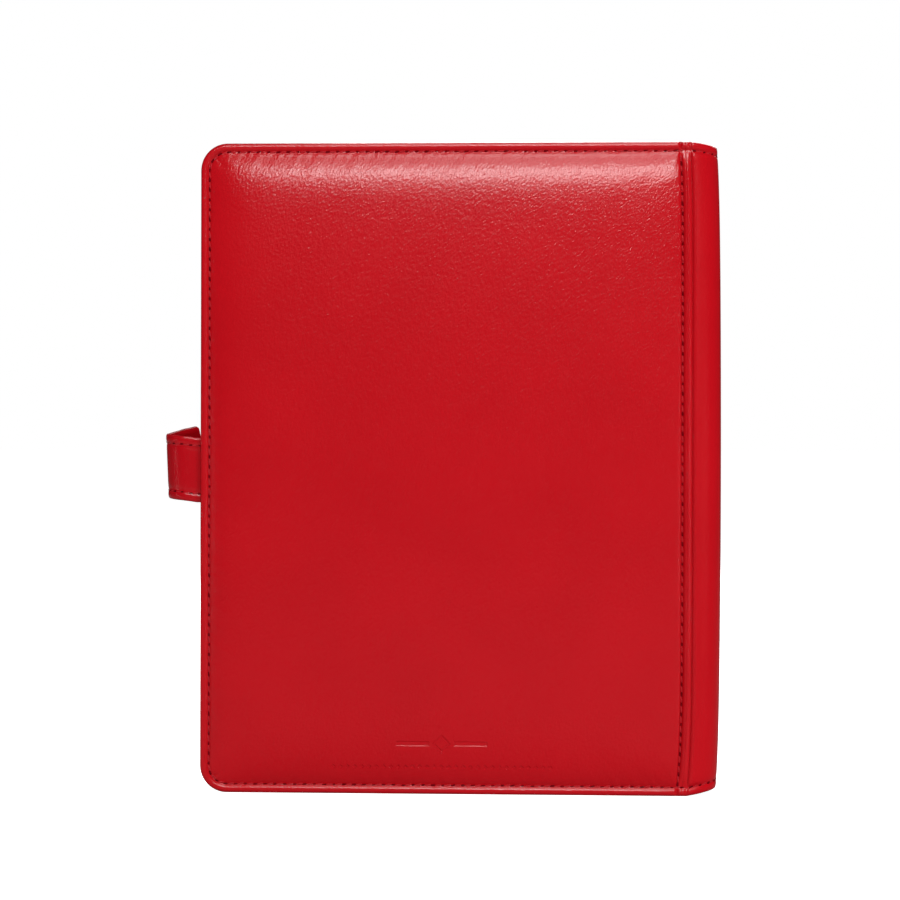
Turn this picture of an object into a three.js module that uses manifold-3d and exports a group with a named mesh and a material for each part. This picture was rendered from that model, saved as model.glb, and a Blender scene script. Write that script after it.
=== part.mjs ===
// A padded leatherette binder for trading cards. It stands upright on its bottom edge, with the back cover
// towards -Y, the front cover towards +Y, the spine at +X and the strap at the fore-edge, at -X.
// All sizes are in millimetres. Each cover swings on a creased leather hinge beside the spine, the leaves
// fan out from a bound backbone, and a strap folds over the front cover and snaps onto a stud.

import * as THREE from "three";
import { mergeVertices } from "three/addons/utils/BufferGeometryUtils.js";
import Module from "manifold-3d";

const wasm = await Module();
wasm.setup();
const { Manifold, Mesh: SolidMesh } = wasm;

// ---- driving dimensions ----

const HEIGHT = 216;
const MIDDLE = HEIGHT / 2;
const COVER_LENGTH = 161.6; // from the fore-edge to the crease beside the spine
const SPINE_X = 172.5; // the outside of the spine
const INNER_FACE = 9.3; // from the middle plane to the inside of either cover
const FORE_CORNER = 9;
const SPINE_CORNER = 2;

// A cover's layers, measured outwards from its inner face.
const SKIN = { top: 6.2, wall: 0.9, roundingHigh: 2.6, roundingWide: 4.5 };
const FOAM = { bottom: 2.6, top: 5.1, inset: 1.3, roundingHigh: 2, roundingWide: 4.3 };
const BOARD = { bottom: 0.65, top: 2.45, inset: 1.6 };
const LINING = { bottom: 0, top: 0.45, inset: 1.15 };
const OUTER_FACE = INNER_FACE + SKIN.top;

// The spine is a rounded channel around a narrow board.
const SPINE = { start: 164.5, halfWidth: 13.4, radius: 8, wall: 0.9, cornerRadius: 5 };
const SPINE_BOARD = { low: 169.2, high: 171.2, halfWidth: 6.5, shorter: 6 };
const SPINE_LINING = { low: 168.4, high: 168.9, halfWidth: 9, shorter: 2.4 };
const HINGE_STRIP = { low: 161.9, high: 164.2, near: 12.05, far: 12.95 };

// Leaves of two by two pockets, each pocket wide enough for a sleeved card.
const LEAF = { count: 20, pitch: 0.9, thickness: 0.5, low: 5, high: 158.5, height: 196, corner: 3 };
const BACKBONE = { low: 159.1, high: 168.1, halfThickness: 8.9 };

// The strap runs out of the back cover's fore-edge, across the binder's thickness and on to its tip.
const STRAP = {
  width: 21.5,
  rootX: -1.5,
  rootY: -10.4,
  bendX: -12,
  bendRadius: 6.5,
  foldY: 18,
  foldGap: 0.3,
  tipY: 64,
  tipCorner: 8,
  slope: 0.05, // it climbs this much for each millimetre along it
};
const STRAP_LAYERS = { outer: [0.08, 0.95], lining: [-0.92, -0.07] };
const STRAP_ANCHOR = { low: -0.35, high: 14, bottom: 0.65, top: 1.52 };
const STRAP_SLOT = { low: -2, high: 2, bottom: 0.25, top: 2.65, wider: 1 }; // through the back cover's wall
const STRAP_RECESS = { low: -1.6, high: 14.4, wider: 0.6 }; // in the back cover's board

// The snap: a cap and a socket on the strap, and a stud on the front cover where the socket lands.
const SNAP = { alongTab: 36, foldInset: 0.7 };
const CAP = { radius: 5.8, height: 2, barrel: 1.7, hole: 2.1 };
const SOCKET = { radius: 4.8, bore: 2.75, thickness: 1.2 };
const STUD = { flange: 4.8, flangeHigh: 0.6, neck: 1.7, head: 2.1, high: 1.85 };
const RIVET = { barrel: 1.5, hole: 1.95, flange: 4.5, flangeHigh: 0.6, recess: 5 };
const GAP = 0.15; // between two layers that are glued or pressed together
const ROUND_STEPS = 32;

// ---- materials ----

const material = (name, color, roughness, metalness = 0) =>
  Object.assign(new THREE.MeshStandardMaterial({ color, roughness, metalness }), { name });

const redLeatherette = material("red_leatherette", 0xc4141d, 0.38);
const redStrap = material("red_strap", 0xb4121b, 0.42);
const blackLining = material("black_lining", 0x17161a, 0.7);
const greyboard = material("greyboard", 0x8b8479, 0.9);
const foam = material("foam", 0xe6e2d8, 0.95);
const leafFilm = material("leaf_film", 0x141418, 0.3);
const backbonePlastic = material("backbone_plastic", 0x1b1b1f, 0.5);
const snapMetal = material("snap_metal", 0xb9b7b0, 0.3, 1);

// ---- solids ----

function toSolid(geometry) {
  const bare = new THREE.BufferGeometry().setAttribute("position", geometry.getAttribute("position"));
  if (geometry.index) bare.setIndex(geometry.index);
  const merged = mergeVertices(bare.index ? bare.toNonIndexed() : bare, 1e-4);
  return new Manifold(
    new SolidMesh({
      numProp: 3,
      vertProperties: merged.attributes.position.array,
      triVerts: new Uint32Array(merged.index.array),
    }),
  );
}

function toGeometry(solid) {
  const mesh = solid.getMesh();
  const geometry = new THREE.BufferGeometry();
  geometry.setAttribute("position", new THREE.BufferAttribute(mesh.vertProperties, mesh.numProp));
  geometry.setIndex(new THREE.BufferAttribute(mesh.triVerts, 1));
  const faceted = geometry.toNonIndexed();
  faceted.computeVertexNormals();
  return faceted;
}

// A rectangle from x = low to high, centred on y = 0, with its own corner radius at each end.
function roundedRectangle(low, high, height, lowCorner, highCorner) {
  const half = height / 2;
  const shape = new THREE.Shape();
  shape.moveTo(low + lowCorner, -half);
  shape.lineTo(high - highCorner, -half);
  shape.absarc(high - highCorner, -half + highCorner, highCorner, -Math.PI / 2, 0);
  shape.lineTo(high, half - highCorner);
  shape.absarc(high - highCorner, half - highCorner, highCorner, 0, Math.PI / 2);
  shape.lineTo(low + lowCorner, half);
  shape.absarc(low + lowCorner, half - lowCorner, lowCorner, Math.PI / 2, Math.PI);
  shape.lineTo(low, -half + lowCorner);
  shape.absarc(low + lowCorner, -half + lowCorner, lowCorner, Math.PI, 1.5 * Math.PI);
  return shape;
}

function coverOutline(inset) {
  return roundedRectangle(
    inset,
    COVER_LENGTH - inset,
    HEIGHT - 2 * inset,
    FORE_CORNER - inset,
    Math.max(SPINE_CORNER - inset, 0.5),
  );
}

function flatLayer(shape, bottom, top) {
  const geometry = new THREE.ExtrudeGeometry(shape, {
    depth: top - bottom,
    bevelEnabled: false,
    curveSegments: 8,
  });
  return geometry.translate(0, 0, bottom);
}

// The points of a cover's outline drawn in by an inset, with as many points at any inset.
function coverLoop(inset) {
  const half = MIDDLE - inset;
  const high = COVER_LENGTH - inset;
  const foreCorner = Math.max(FORE_CORNER - inset, 0.5);
  const spineCorner = Math.max(SPINE_CORNER - inset, 0.5);
  const corners = [
    [high - spineCorner, -half + spineCorner, spineCorner, -1],
    [high - spineCorner, half - spineCorner, spineCorner, 0],
    [inset + foreCorner, half - foreCorner, foreCorner, 1],
    [inset + foreCorner, -half + foreCorner, foreCorner, 2],
  ];
  const steps = 6;
  return corners.flatMap(([x, y, radius, quarter]) =>
    Array.from({ length: steps + 1 }, (_, i) => {
      const angle = ((quarter + i / steps) * Math.PI) / 2;
      return [x + radius * Math.cos(angle), y + radius * Math.sin(angle)];
    }),
  );
}

// A pad over the cover's outline, flat underneath, whose top edge is rounded over.
function roundedLayer(inset, bottom, top, high, wide) {
  const levels = [[inset, bottom]];
  const steps = 5;
  for (let i = 0; i <= steps; i++) {
    const turn = ((i / steps) * Math.PI) / 2;
    levels.push([inset + wide * (1 - Math.cos(turn)), top - high + high * Math.sin(turn)]);
  }
  const loops = levels.map(([drawnIn, z]) => coverLoop(drawnIn).map(([x, y]) => [x, y, z]));
  const count = loops[0].length;
  const positions = loops.flat(2);
  const index = [];
  for (let level = 0; level < loops.length - 1; level++) {
    for (let i = 0; i < count; i++) {
      const a = level * count + i;
      const b = level * count + ((i + 1) % count);
      index.push(a, b, b + count, a, b + count, a + count);
    }
  }
  const lid = (loops.length - 1) * count;
  for (let i = 1; i < count - 1; i++) {
    index.push(0, i + 1, i);
    index.push(lid, lid + i, lid + i + 1);
  }
  const geometry = new THREE.BufferGeometry();
  geometry.setAttribute("position", new THREE.Float32BufferAttribute(positions, 3));
  geometry.setIndex(index);
  return toSolid(geometry);
}

function block([lowX, highX], [lowY, highY], [lowZ, highZ]) {
  const geometry = new THREE.BoxGeometry(highX - lowX, highY - lowY, highZ - lowZ);
  return geometry.translate((lowX + highX) / 2, (lowY + highY) / 2, (lowZ + highZ) / 2);
}

function centred(width) {
  return [-width / 2, width / 2];
}

function cylinder(radius, bottom, top) {
  const geometry = new THREE.CylinderGeometry(radius, radius, top - bottom, ROUND_STEPS);
  return geometry.rotateX(Math.PI / 2).translate(0, 0, (bottom + top) / 2);
}

function turned(profile) {
  const points = profile.map(([radius, along]) => new THREE.Vector2(radius, along));
  return new THREE.LatheGeometry(points, ROUND_STEPS).rotateX(Math.PI / 2);
}

function named(name, geometry, surface) {
  const mesh = new THREE.Mesh(geometry, surface);
  mesh.name = name;
  return mesh;
}

// ---- covers ----
// A cover is built lying on its inner face, with local Z outwards, and then stood up on its own side.

function coverSkin(cuts) {
  const outside = roundedLayer(0, 0, SKIN.top, SKIN.roundingHigh, SKIN.roundingWide);
  const hollow = roundedLayer(
    SKIN.wall,
    -1,
    SKIN.top - SKIN.wall,
    SKIN.roundingHigh,
    SKIN.roundingWide - SKIN.wall / 2,
  );
  return toGeometry(cuts.reduce((solid, cut) => solid.subtract(cut), outside.subtract(hollow)));
}

function coverFoam(cuts) {
  const pad = roundedLayer(FOAM.inset, FOAM.bottom, FOAM.top, FOAM.roundingHigh, FOAM.roundingWide);
  return toGeometry(cuts.reduce((solid, cut) => solid.subtract(cut), pad));
}

function coverBoard(cuts) {
  const board = toSolid(flatLayer(coverOutline(BOARD.inset), BOARD.bottom, BOARD.top));
  return toGeometry(cuts.reduce((solid, cut) => solid.subtract(cut), board));
}

function cover(side, name, cuts) {
  const group = new THREE.Group();
  group.rotation.x = (-side * Math.PI) / 2;
  group.position.set(0, side * INNER_FACE, MIDDLE);
  group.add(
    named(`${name}_cover_skin`, coverSkin(cuts.skin), redLeatherette),
    named(`${name}_foam_pad`, coverFoam(cuts.foam), foam),
    named(`${name}_cover_board`, coverBoard(cuts.board), greyboard),
    named(
      `${name}_cover_lining`,
      flatLayer(coverOutline(LINING.inset), LINING.bottom, LINING.top),
      blackLining,
    ),
  );
  return group;
}

// The back cover's fore-edge wall is slotted for the strap, and its board is recessed for the strap's sewn end.
function backCover() {
  const { low, high, bottom, top } = STRAP_ANCHOR;
  const slot = block(
    [STRAP_SLOT.low, STRAP_SLOT.high],
    centred(STRAP.width + STRAP_SLOT.wider),
    [STRAP_SLOT.bottom, STRAP_SLOT.top],
  );
  const recess = block(
    [STRAP_RECESS.low, STRAP_RECESS.high],
    centred(STRAP.width + STRAP_RECESS.wider),
    [-1, top + GAP],
  );
  const group = cover(-1, "back", { skin: [toSolid(slot)], foam: [], board: [toSolid(recess)] });
  const anchor = block([low, high], centred(STRAP.width), [bottom, top]);
  group.add(named("strap_anchor", anchor, redStrap));
  return group;
}

// Where the snap's centre lies along the strap, and how far it has climbed there.
function snapHeight() {
  return strapRise(strapLengthToFold() + SNAP.alongTab);
}

function frontCover() {
  const x = STRAP.bendX + SNAP.foldInset + SNAP.alongTab;
  const y = -snapHeight();
  const hole = toSolid(cylinder(RIVET.hole, -1, 8)).translate([x, y, 0]);
  const counterbore = toSolid(cylinder(RIVET.recess, 0, BOARD.bottom + 0.9)).translate([x, y, 0]);
  const group = cover(1, "front", { skin: [hole], foam: [hole], board: [hole, counterbore] });
  const flangeBottom = BOARD.bottom;
  const flangeTop = flangeBottom + RIVET.flangeHigh;
  const stud = turned([
    [0, 0],
    [STUD.flange, 0],
    [STUD.flange, STUD.flangeHigh * 0.5],
    [STUD.flange - 0.5, STUD.flangeHigh],
    [STUD.neck, STUD.flangeHigh],
    [STUD.neck, STUD.high - 0.9],
    [STUD.head, STUD.high - 0.6],
    [STUD.head, STUD.high - 0.3],
    [STUD.head - 0.5, STUD.high],
    [0, STUD.high],
  ]);
  const rivet = turned([
    [0, flangeBottom],
    [RIVET.flange, flangeBottom],
    [RIVET.flange, flangeTop],
    [RIVET.barrel, flangeTop],
    [RIVET.barrel, SKIN.top],
    [0, SKIN.top],
  ]);
  const studMesh = named("snap_stud", stud, snapMetal);
  studMesh.position.set(x, y, SKIN.top + GAP);
  const rivetMesh = named("snap_rivet", rivet, snapMetal);
  rivetMesh.position.set(x, y, 0);
  group.add(studMesh, rivetMesh);
  return group;
}

// ---- spine ----

function spineSkin() {
  const { start, halfWidth, radius, wall, cornerRadius } = SPINE;
  const centreY = halfWidth - radius;
  const shape = new THREE.Shape();
  shape.moveTo(start, -halfWidth);
  shape.absarc(start, -centreY, radius, -Math.PI / 2, 0);
  shape.absarc(start, centreY, radius, 0, Math.PI / 2);
  shape.lineTo(start, halfWidth - wall);
  shape.absarc(start, centreY, radius - wall, Math.PI / 2, 0, true);
  shape.absarc(start, -centreY, radius - wall, 0, -Math.PI / 2, true);
  const channel = toSolid(
    new THREE.ExtrudeGeometry(shape, { depth: HEIGHT, bevelEnabled: false, curveSegments: 10 }),
  );
  const outline = roundedRectangle(start - 20, SPINE_X, HEIGHT, 1, cornerRadius);
  const trim = new THREE.ExtrudeGeometry(outline, { depth: 60, bevelEnabled: false, curveSegments: 8 });
  trim.translate(0, 0, -30).rotateX(Math.PI / 2).translate(0, 0, MIDDLE);
  return toGeometry(channel.intersect(toSolid(trim)));
}

function spineSheet({ low, high, halfWidth, shorter }) {
  return block([low, high], centred(2 * halfWidth), [shorter, HEIGHT - shorter]);
}

function hingeStrip(side) {
  const { low, high, near, far } = HINGE_STRIP;
  const strip = block([low, high], [near, far], [0, HEIGHT]);
  return side < 0 ? strip.translate(0, -near - far, 0) : strip;
}

function backbone() {
  const { low, high, halfThickness } = BACKBONE;
  const bottom = MIDDLE - LEAF.height / 2;
  return block([low, high], centred(2 * halfThickness), [bottom, bottom + LEAF.height]);
}

function spine() {
  const group = new THREE.Group();
  group.add(
    named("spine_skin", spineSkin(), redLeatherette),
    named("spine_board", spineSheet(SPINE_BOARD), greyboard),
    named("spine_lining", spineSheet(SPINE_LINING), blackLining),
    named("back_hinge_strip", hingeStrip(-1), redLeatherette),
    named("front_hinge_strip", hingeStrip(1), redLeatherette),
    named("page_backbone", backbone(), backbonePlastic),
  );
  return group;
}

// ---- leaves ----

function leaves() {
  const group = new THREE.Group();
  const outline = roundedRectangle(LEAF.low, LEAF.high, LEAF.height, LEAF.corner, 0.5);
  for (let i = 0; i < LEAF.count; i++) {
    const fromFront = (LEAF.count - 1) / 2 - i;
    const leaf = named(
      `page_${String(i + 1).padStart(2, "0")}`,
      flatLayer(outline, -LEAF.thickness / 2, LEAF.thickness / 2),
      leafFilm,
    );
    leaf.rotation.x = Math.PI / 2;
    leaf.position.set(0, fromFront * LEAF.pitch, MIDDLE);
    group.add(leaf);
  }
  return group;
}

// ---- strap ----

// The strap's line seen from above, from its root at the back cover to where it folds over the front cover.
function baseLine() {
  const { rootX, rootY, bendX, bendRadius, foldY, foldGap } = STRAP;
  const points = [new THREE.Vector2(rootX, rootY)];
  const centreX = bendX + bendRadius;
  const centreY = rootY + bendRadius;
  const steps = 10;
  for (let i = 0; i <= steps; i++) {
    const angle = -Math.PI / 2 - (i / steps) * (Math.PI / 2);
    points.push(
      new THREE.Vector2(centreX + bendRadius * Math.cos(angle), centreY + bendRadius * Math.sin(angle)),
    );
  }
  points.push(new THREE.Vector2(bendX, foldY - foldGap));
  return points;
}

function tabLine() {
  const { bendX, foldY, foldGap, tipY, tipCorner } = STRAP;
  const points = [new THREE.Vector2(bendX, foldY + foldGap)];
  const steps = 8;
  for (let i = 0; i <= steps; i++) {
    const turn = (i / steps) * (Math.PI / 2);
    points.push(new THREE.Vector2(bendX, tipY - tipCorner + tipCorner * Math.sin(turn)));
  }
  return points;
}

function strapLengthToFold() {
  return lengths(baseLine()).at(-1) + STRAP.foldGap;
}

function strapRise(along) {
  return STRAP.slope * along;
}

function lengths(line) {
  const found = [0];
  for (let i = 1; i < line.length; i++) found.push(found[i - 1] + line[i].distanceTo(line[i - 1]));
  return found;
}

// One layer of the strap: a band between two offsets from a line, as tall as halfHeight says at each point.
function band(line, [near, far], alongStart, halfHeight) {
  const along = lengths(line);
  const positions = [];
  line.forEach((point, i) => {
    const ahead = line[Math.min(i + 1, line.length - 1)];
    const behind = line[Math.max(i - 1, 0)];
    const direction = ahead.clone().sub(behind).normalize();
    const centre = MIDDLE + strapRise(alongStart + along[i]);
    const half = halfHeight(point);
    for (const [offset, z] of [
      [near, centre - half],
      [far, centre - half],
      [far, centre + half],
      [near, centre + half],
    ]) {
      positions.push(point.x - direction.y * offset, point.y + direction.x * offset, z);
    }
  });
  const index = [];
  const last = 4 * (line.length - 1);
  for (let first = 0; first < last; first += 4) {
    for (let side = 0; side < 4; side++) {
      const a = first + side;
      const b = first + ((side + 1) % 4);
      index.push(a, b, b + 4, a, b + 4, a + 4);
    }
  }
  index.push(0, 3, 2, 0, 2, 1);
  index.push(last, last + 1, last + 2, last, last + 2, last + 3);
  const geometry = new THREE.BufferGeometry();
  geometry.setAttribute("position", new THREE.Float32BufferAttribute(positions, 3));
  geometry.setIndex(index);
  return geometry;
}

function tabHalfHeight(point) {
  const { width, tipY, tipCorner } = STRAP;
  const into = Math.max(0, point.y - (tipY - tipCorner));
  return width / 2 - tipCorner + Math.sqrt(Math.max(tipCorner ** 2 - into ** 2, 0));
}

// A solid around the snap's axis, which runs along X through the strap.
function onSnapAxis(geometry, x) {
  return geometry
    .rotateY(-Math.PI / 2)
    .translate(x, STRAP.foldY + SNAP.alongTab, MIDDLE + snapHeight());
}

function strap() {
  const group = new THREE.Group();
  const toFold = strapLengthToFold();
  const squareEnd = () => STRAP.width / 2;
  const hole = toSolid(onSnapAxis(cylinder(CAP.hole, -4, 4), STRAP.bendX));
  for (const [layer, offsets] of Object.entries(STRAP_LAYERS)) {
    const tab = band(tabLine(), offsets, toFold + STRAP.foldGap, tabHalfHeight);
    group.add(
      named(`strap_base_${layer}`, band(baseLine(), offsets, 0, squareEnd), redStrap),
      named(`strap_tab_${layer}`, toGeometry(toSolid(tab).subtract(hole)), redStrap),
    );
  }
  const outside = STRAP_LAYERS.outer[1] + GAP;
  const inside = STRAP_LAYERS.lining[0] - GAP;
  const cap = turned([
    [0, inside + 0.1],
    [CAP.barrel, inside + 0.1],
    [CAP.barrel, outside],
    [CAP.radius, outside],
    [CAP.radius, outside + CAP.height * 0.35],
    [CAP.radius * 0.9, outside + CAP.height * 0.7],
    [CAP.radius * 0.6, outside + CAP.height * 0.93],
    [0, outside + CAP.height],
  ]);
  const socket = turned([
    [SOCKET.bore, inside - SOCKET.thickness],
    [SOCKET.radius, inside - SOCKET.thickness],
    [SOCKET.radius, inside],
    [SOCKET.bore, inside],
    [SOCKET.bore, inside - SOCKET.thickness],
  ]);
  group.add(
    named("snap_cap", onSnapAxis(cap, STRAP.bendX), snapMetal),
    named("snap_socket", onSnapAxis(socket, STRAP.bendX), snapMetal),
  );
  return group;
}

// ---- the whole binder, its origin under the middle of its box ----

const binder = new THREE.Group();
binder.name = "trading_card_binder";
binder.add(backCover(), frontCover(), spine(), leaves(), strap());
binder.updateMatrixWorld(true);
const box = new THREE.Box3().setFromObject(binder, true);
const middle = box.getCenter(new THREE.Vector3());
binder.position.set(-middle.x, -middle.y, -box.min.z);

export default binder;
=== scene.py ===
"""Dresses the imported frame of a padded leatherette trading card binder.

Lengths are worked out in millimetres in the case's own directions: x runs from the fore-edge to the spine,
y from the middle of the thickness towards the front cover, and z up from the bottom edge. to_frame() turns
them into metres in the frame. The back cover is on side -1 and the front cover on side 1.
"""
import math

import bpy
import numpy as np
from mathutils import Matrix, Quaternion, Vector


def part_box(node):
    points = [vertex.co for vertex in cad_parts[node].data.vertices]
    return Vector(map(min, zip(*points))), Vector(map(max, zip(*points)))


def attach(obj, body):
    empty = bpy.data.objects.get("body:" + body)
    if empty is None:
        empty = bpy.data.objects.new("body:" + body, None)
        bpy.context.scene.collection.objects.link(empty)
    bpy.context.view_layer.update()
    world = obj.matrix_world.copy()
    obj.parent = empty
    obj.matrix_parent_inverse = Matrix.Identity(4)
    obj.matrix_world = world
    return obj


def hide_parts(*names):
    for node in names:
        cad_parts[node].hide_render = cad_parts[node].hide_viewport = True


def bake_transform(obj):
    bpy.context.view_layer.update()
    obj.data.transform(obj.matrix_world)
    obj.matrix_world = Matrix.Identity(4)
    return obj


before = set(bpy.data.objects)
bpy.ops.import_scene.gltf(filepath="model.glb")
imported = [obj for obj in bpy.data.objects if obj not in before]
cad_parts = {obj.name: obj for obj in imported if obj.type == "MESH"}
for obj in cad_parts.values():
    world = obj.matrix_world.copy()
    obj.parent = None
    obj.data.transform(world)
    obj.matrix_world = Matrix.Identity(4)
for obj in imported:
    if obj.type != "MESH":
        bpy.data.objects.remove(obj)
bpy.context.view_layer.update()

# ---- the case, in millimetres ----

HEIGHT = 216.0
INNER_FACE = 9.3  # from the middle of the thickness to the inside of either cover
FORE_CORNER = 9.0
COVER_END = 161.6  # where the cover's leather passes into the crease
CREASE = 163.2
SPINE_START = 164.5
SPINE_RADIUS = 8.0
STITCH_INSET = 2.9
HINGE_STITCH = 160.0  # the row of stitches beside the spine
PITCH = 3.3  # from one stitch to the next
# Between the stitches, dark capsules of painted shade stand for the needle holes.
THREAD_SHARE, HOLE_SHADE_SHARE = 0.66, 0.44  # their lengths as shares of the pitch
THREAD_RADIUS, HOLE_SHADE_RADIUS = 0.32, 0.30
THREAD_LIFT, HOLE_SHADE_LIFT = 0.08, 0.12

# At its ends the sewn hinge bows towards the fore-edge: how far, and over what height.
BOW_BOTTOM, BOW_BOTTOM_REACH = 1.9, 14.0
BOW_TOP, BOW_TOP_REACH = 1.0, 12.0
BOW_START, BOW_RAMP = 140.0, 18.0  # where on the cover the bow begins, and the width it grows over

SEAM_LEVEL = 3.1  # how far the sewn lines stand above the cover's inner face
SEAM_HALF = 0.3  # half the width of the groove that the thread lies in
ROLL_HIGH = 0.9
WELT_HIGH = 0.8
LIP_HIGH, LIP_REACH = 0.2, 0.5  # the leather's first lift out of a sewn groove
CROWN_HIGH, CROWN_REACH = 2.5, 5.0  # the padding's rise just inside the sewn line
SWELL_HIGH, SWELL_REACH = 0.5, 20.0  # and its slow rise towards the middle
GATHER_DEEP, GATHER_REACH = 0.11, 1.5  # the gather at each stitch
PULL_DEEP, PULL_REACH = 0.045, 3.5  # the wider gathers from the pull between stitches
HINGE_REACH = 0.15  # beside the hinge stitching most of the rise comes at once
SLOW_SHARE, SLOW_REACH = 0.25, 8.0  # and the rest of it comes slowly
FAN_DEEP, FAN_CREASES = 0.13, 13.0  # the creases that fan out of the corners beside the spine
FAN_START, FAN_REACH = 3.0, 7.0

SPINE_HALF = INNER_FACE + SEAM_LEVEL + ROLL_HIGH
SPINE_FLAT_HALF = SPINE_HALF - SPINE_RADIUS
SPINE_END = SPINE_START + SPINE_RADIUS
TAPER_BOTTOM, TAPER_TOP, TAPER_CURVE = 2.4, 1.4, 1.15  # how far, and how evenly, its ends are cut back
HOLLOW_DEEP, HOLLOW_REACH = 0.9, 14.0  # the spine draws in towards its ends
BELLY = 0.6  # and stands out at half height

LEAF_COUNT = 20
LEAF_PITCH = 0.9
LEAF_LOW, LEAF_HIGH = 5.0, 158.5
LEAF_CORNER = 3.0
LEAF_BOTTOM, LEAF_TOP = 10.0, 206.0
LEAF_HALF = 0.13  # half a leaf's thickness on its welds
POCKET_HIGH = 0.11  # how far the film stands up over a pocket
WELD_INSET = 1.3
FIRST_COLUMN = 72.25  # from a leaf's free edge to the weld between its columns of pockets
BOUND_STRIP = 10.0
WELDS_X = (LEAF_LOW + WELD_INSET, LEAF_LOW + FIRST_COLUMN, LEAF_HIGH - BOUND_STRIP)
WELDS_Z = (LEAF_BOTTOM + WELD_INSET, (LEAF_BOTTOM + LEAF_TOP) / 2, LEAF_TOP - WELD_INSET)

STRAP_HALF = 10.75
STRAP_START_X = 1.2  # its end, sewn between the cover's leather and lining
STRAP_LEVEL_RUN = 2.7  # how far from that end it begins to climb
STRAP_BEND_X = -12.0
STRAP_ROOT_Y = -10.4
STRAP_BEND_RADIUS = 6.5
STRAP_SPLIT_Y = 4.0  # the root's pieces end here and the tab's begin
STRAP_FOLD_Y = 18.0
STRAP_TIP_Y = 64.0
STRAP_TIP_RADIUS = 8.0
STRAP_SLOPE = 0.05
STRAP_SEAM = 2.7
STRAP_FACE = 0.65  # from the strap's middle line to its sewn outer face
STRAP_ROLL, STRAP_CUSHION = 0.3, 0.25  # the rise of its rolled edges, and of its face between them
STRAP_SAG, STRAP_SAG_REACH = 0.7, 8.0  # it sits low where it leaves the cover
STRAP_LEAN = 0.05  # round the bend its lower edge stays closer to the cover
TAB_BOW = 0.45
SNAP_Y = 54.0
SNAP_REACH = 6.0  # the tab doesn't bow this close to the snap

# The ornament pressed into the back cover, measured from the cover's fore-edge and bottom.
ORNAMENT_X = 80.7
BARS_Z = 17.0
BAR_MIDDLE, BAR_LENGTH, BAR_HEIGHT = 9.6, 11.0, 1.5
DIAMOND_HALF, DIAMOND_LINE = 3.0, 0.9
DOTS_Z, DOTS_LENGTH, DOT_PITCH, DOT_RADIUS = 9.2, 73.0, 2.4, 0.75

rng = np.random.default_rng(11)

MM = 0.001
FORE_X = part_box("back_cover_skin")[0][0]
MIDDLE_Y = (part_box("spine_skin")[0][1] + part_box("spine_skin")[1][1]) / 2


def to_frame(points):
    """Case millimetres as metres in the frame."""
    return np.asarray(points, float) * MM + np.array([FORE_X, MIDDLE_Y, 0.0])


# ---- mesh helpers ----


def piece(name, points, faces, material, body=None, slot=None):
    """A mesh from points in case millimetres, riding on a body if one is given."""
    mesh = bpy.data.meshes.new(name)
    mesh.from_pydata(to_frame(points).tolist(), [], [tuple(map(int, f)) for f in faces])
    mesh.polygons.foreach_set("use_smooth", [True] * len(mesh.polygons))
    mesh.materials.append(material)
    mesh.update()
    made = bpy.data.objects.new(name, mesh)
    bpy.context.collection.objects.link(made)
    if body:
        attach(made, body)
    return made


def grid_faces(rows, columns, round_columns=False, flip=False):
    """Quads over rows of points, closed round each row if round_columns says so."""
    faces = []
    for i in range(rows - 1):
        for j in range(columns if round_columns else columns - 1):
            k = (j + 1) % columns
            quad = (i * columns + j, i * columns + k, (i + 1) * columns + k, (i + 1) * columns + j)
            faces.append(quad[::-1] if flip else quad)
    return faces


def rim_of_grid(rows, columns):
    """The indices round the outside of a grid of points, in order."""
    return (
        list(range(columns))
        + [i * columns + columns - 1 for i in range(1, rows)]
        + [(rows - 1) * columns + j for j in range(columns - 2, -1, -1)]
        + [i * columns for i in range(rows - 2, 0, -1)]
    )


def joined(parts):
    """One (points, faces) from several."""
    points, faces, first = [], [], 0
    for some_points, some_faces in parts:
        points.append(np.asarray(some_points, float))
        faces += [tuple(first + i for i in face) for face in some_faces]
        first += len(some_points)
    return np.vstack(points), faces


def slab(upper, lower, flip):
    """A closed (points, faces) between two grids of points with the same outline."""
    rows, columns = upper.shape[:2]
    count = rows * columns
    faces = grid_faces(rows, columns, flip=flip)
    faces += [tuple(count + i for i in face[::-1]) for face in faces]
    rim = rim_of_grid(rows, columns)
    for start, end in zip(rim, rim[1:] + rim[:1]):
        quad = (end, start, count + start, count + end)
        faces.append(quad[::-1] if flip else quad)
    return np.vstack([upper.reshape(-1, 3), lower.reshape(-1, 3)]), faces


def run_along(path):
    """The distance from a path's start to each of its points."""
    return np.concatenate([[0], np.cumsum(np.linalg.norm(np.diff(path, axis=0), axis=1))])


def lathe(profile, origin, axis, steps=48):
    """A turned (points, faces) from (radius, along) pairs, about an axis through origin."""
    axis = np.asarray(axis, float)
    side = np.cross(axis, [0.0, 0.0, 1.0])
    up = np.cross(axis, side)
    turns = np.linspace(0, 2 * np.pi, steps, endpoint=False)
    rows = [
        [origin + along * axis + radius * (math.cos(turn) * side + math.sin(turn) * up) for turn in turns]
        for radius, along in profile
    ]
    faces = grid_faces(len(profile), steps, round_columns=True)
    return np.array(rows).reshape(-1, 3), faces


# ---- materials ----


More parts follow.
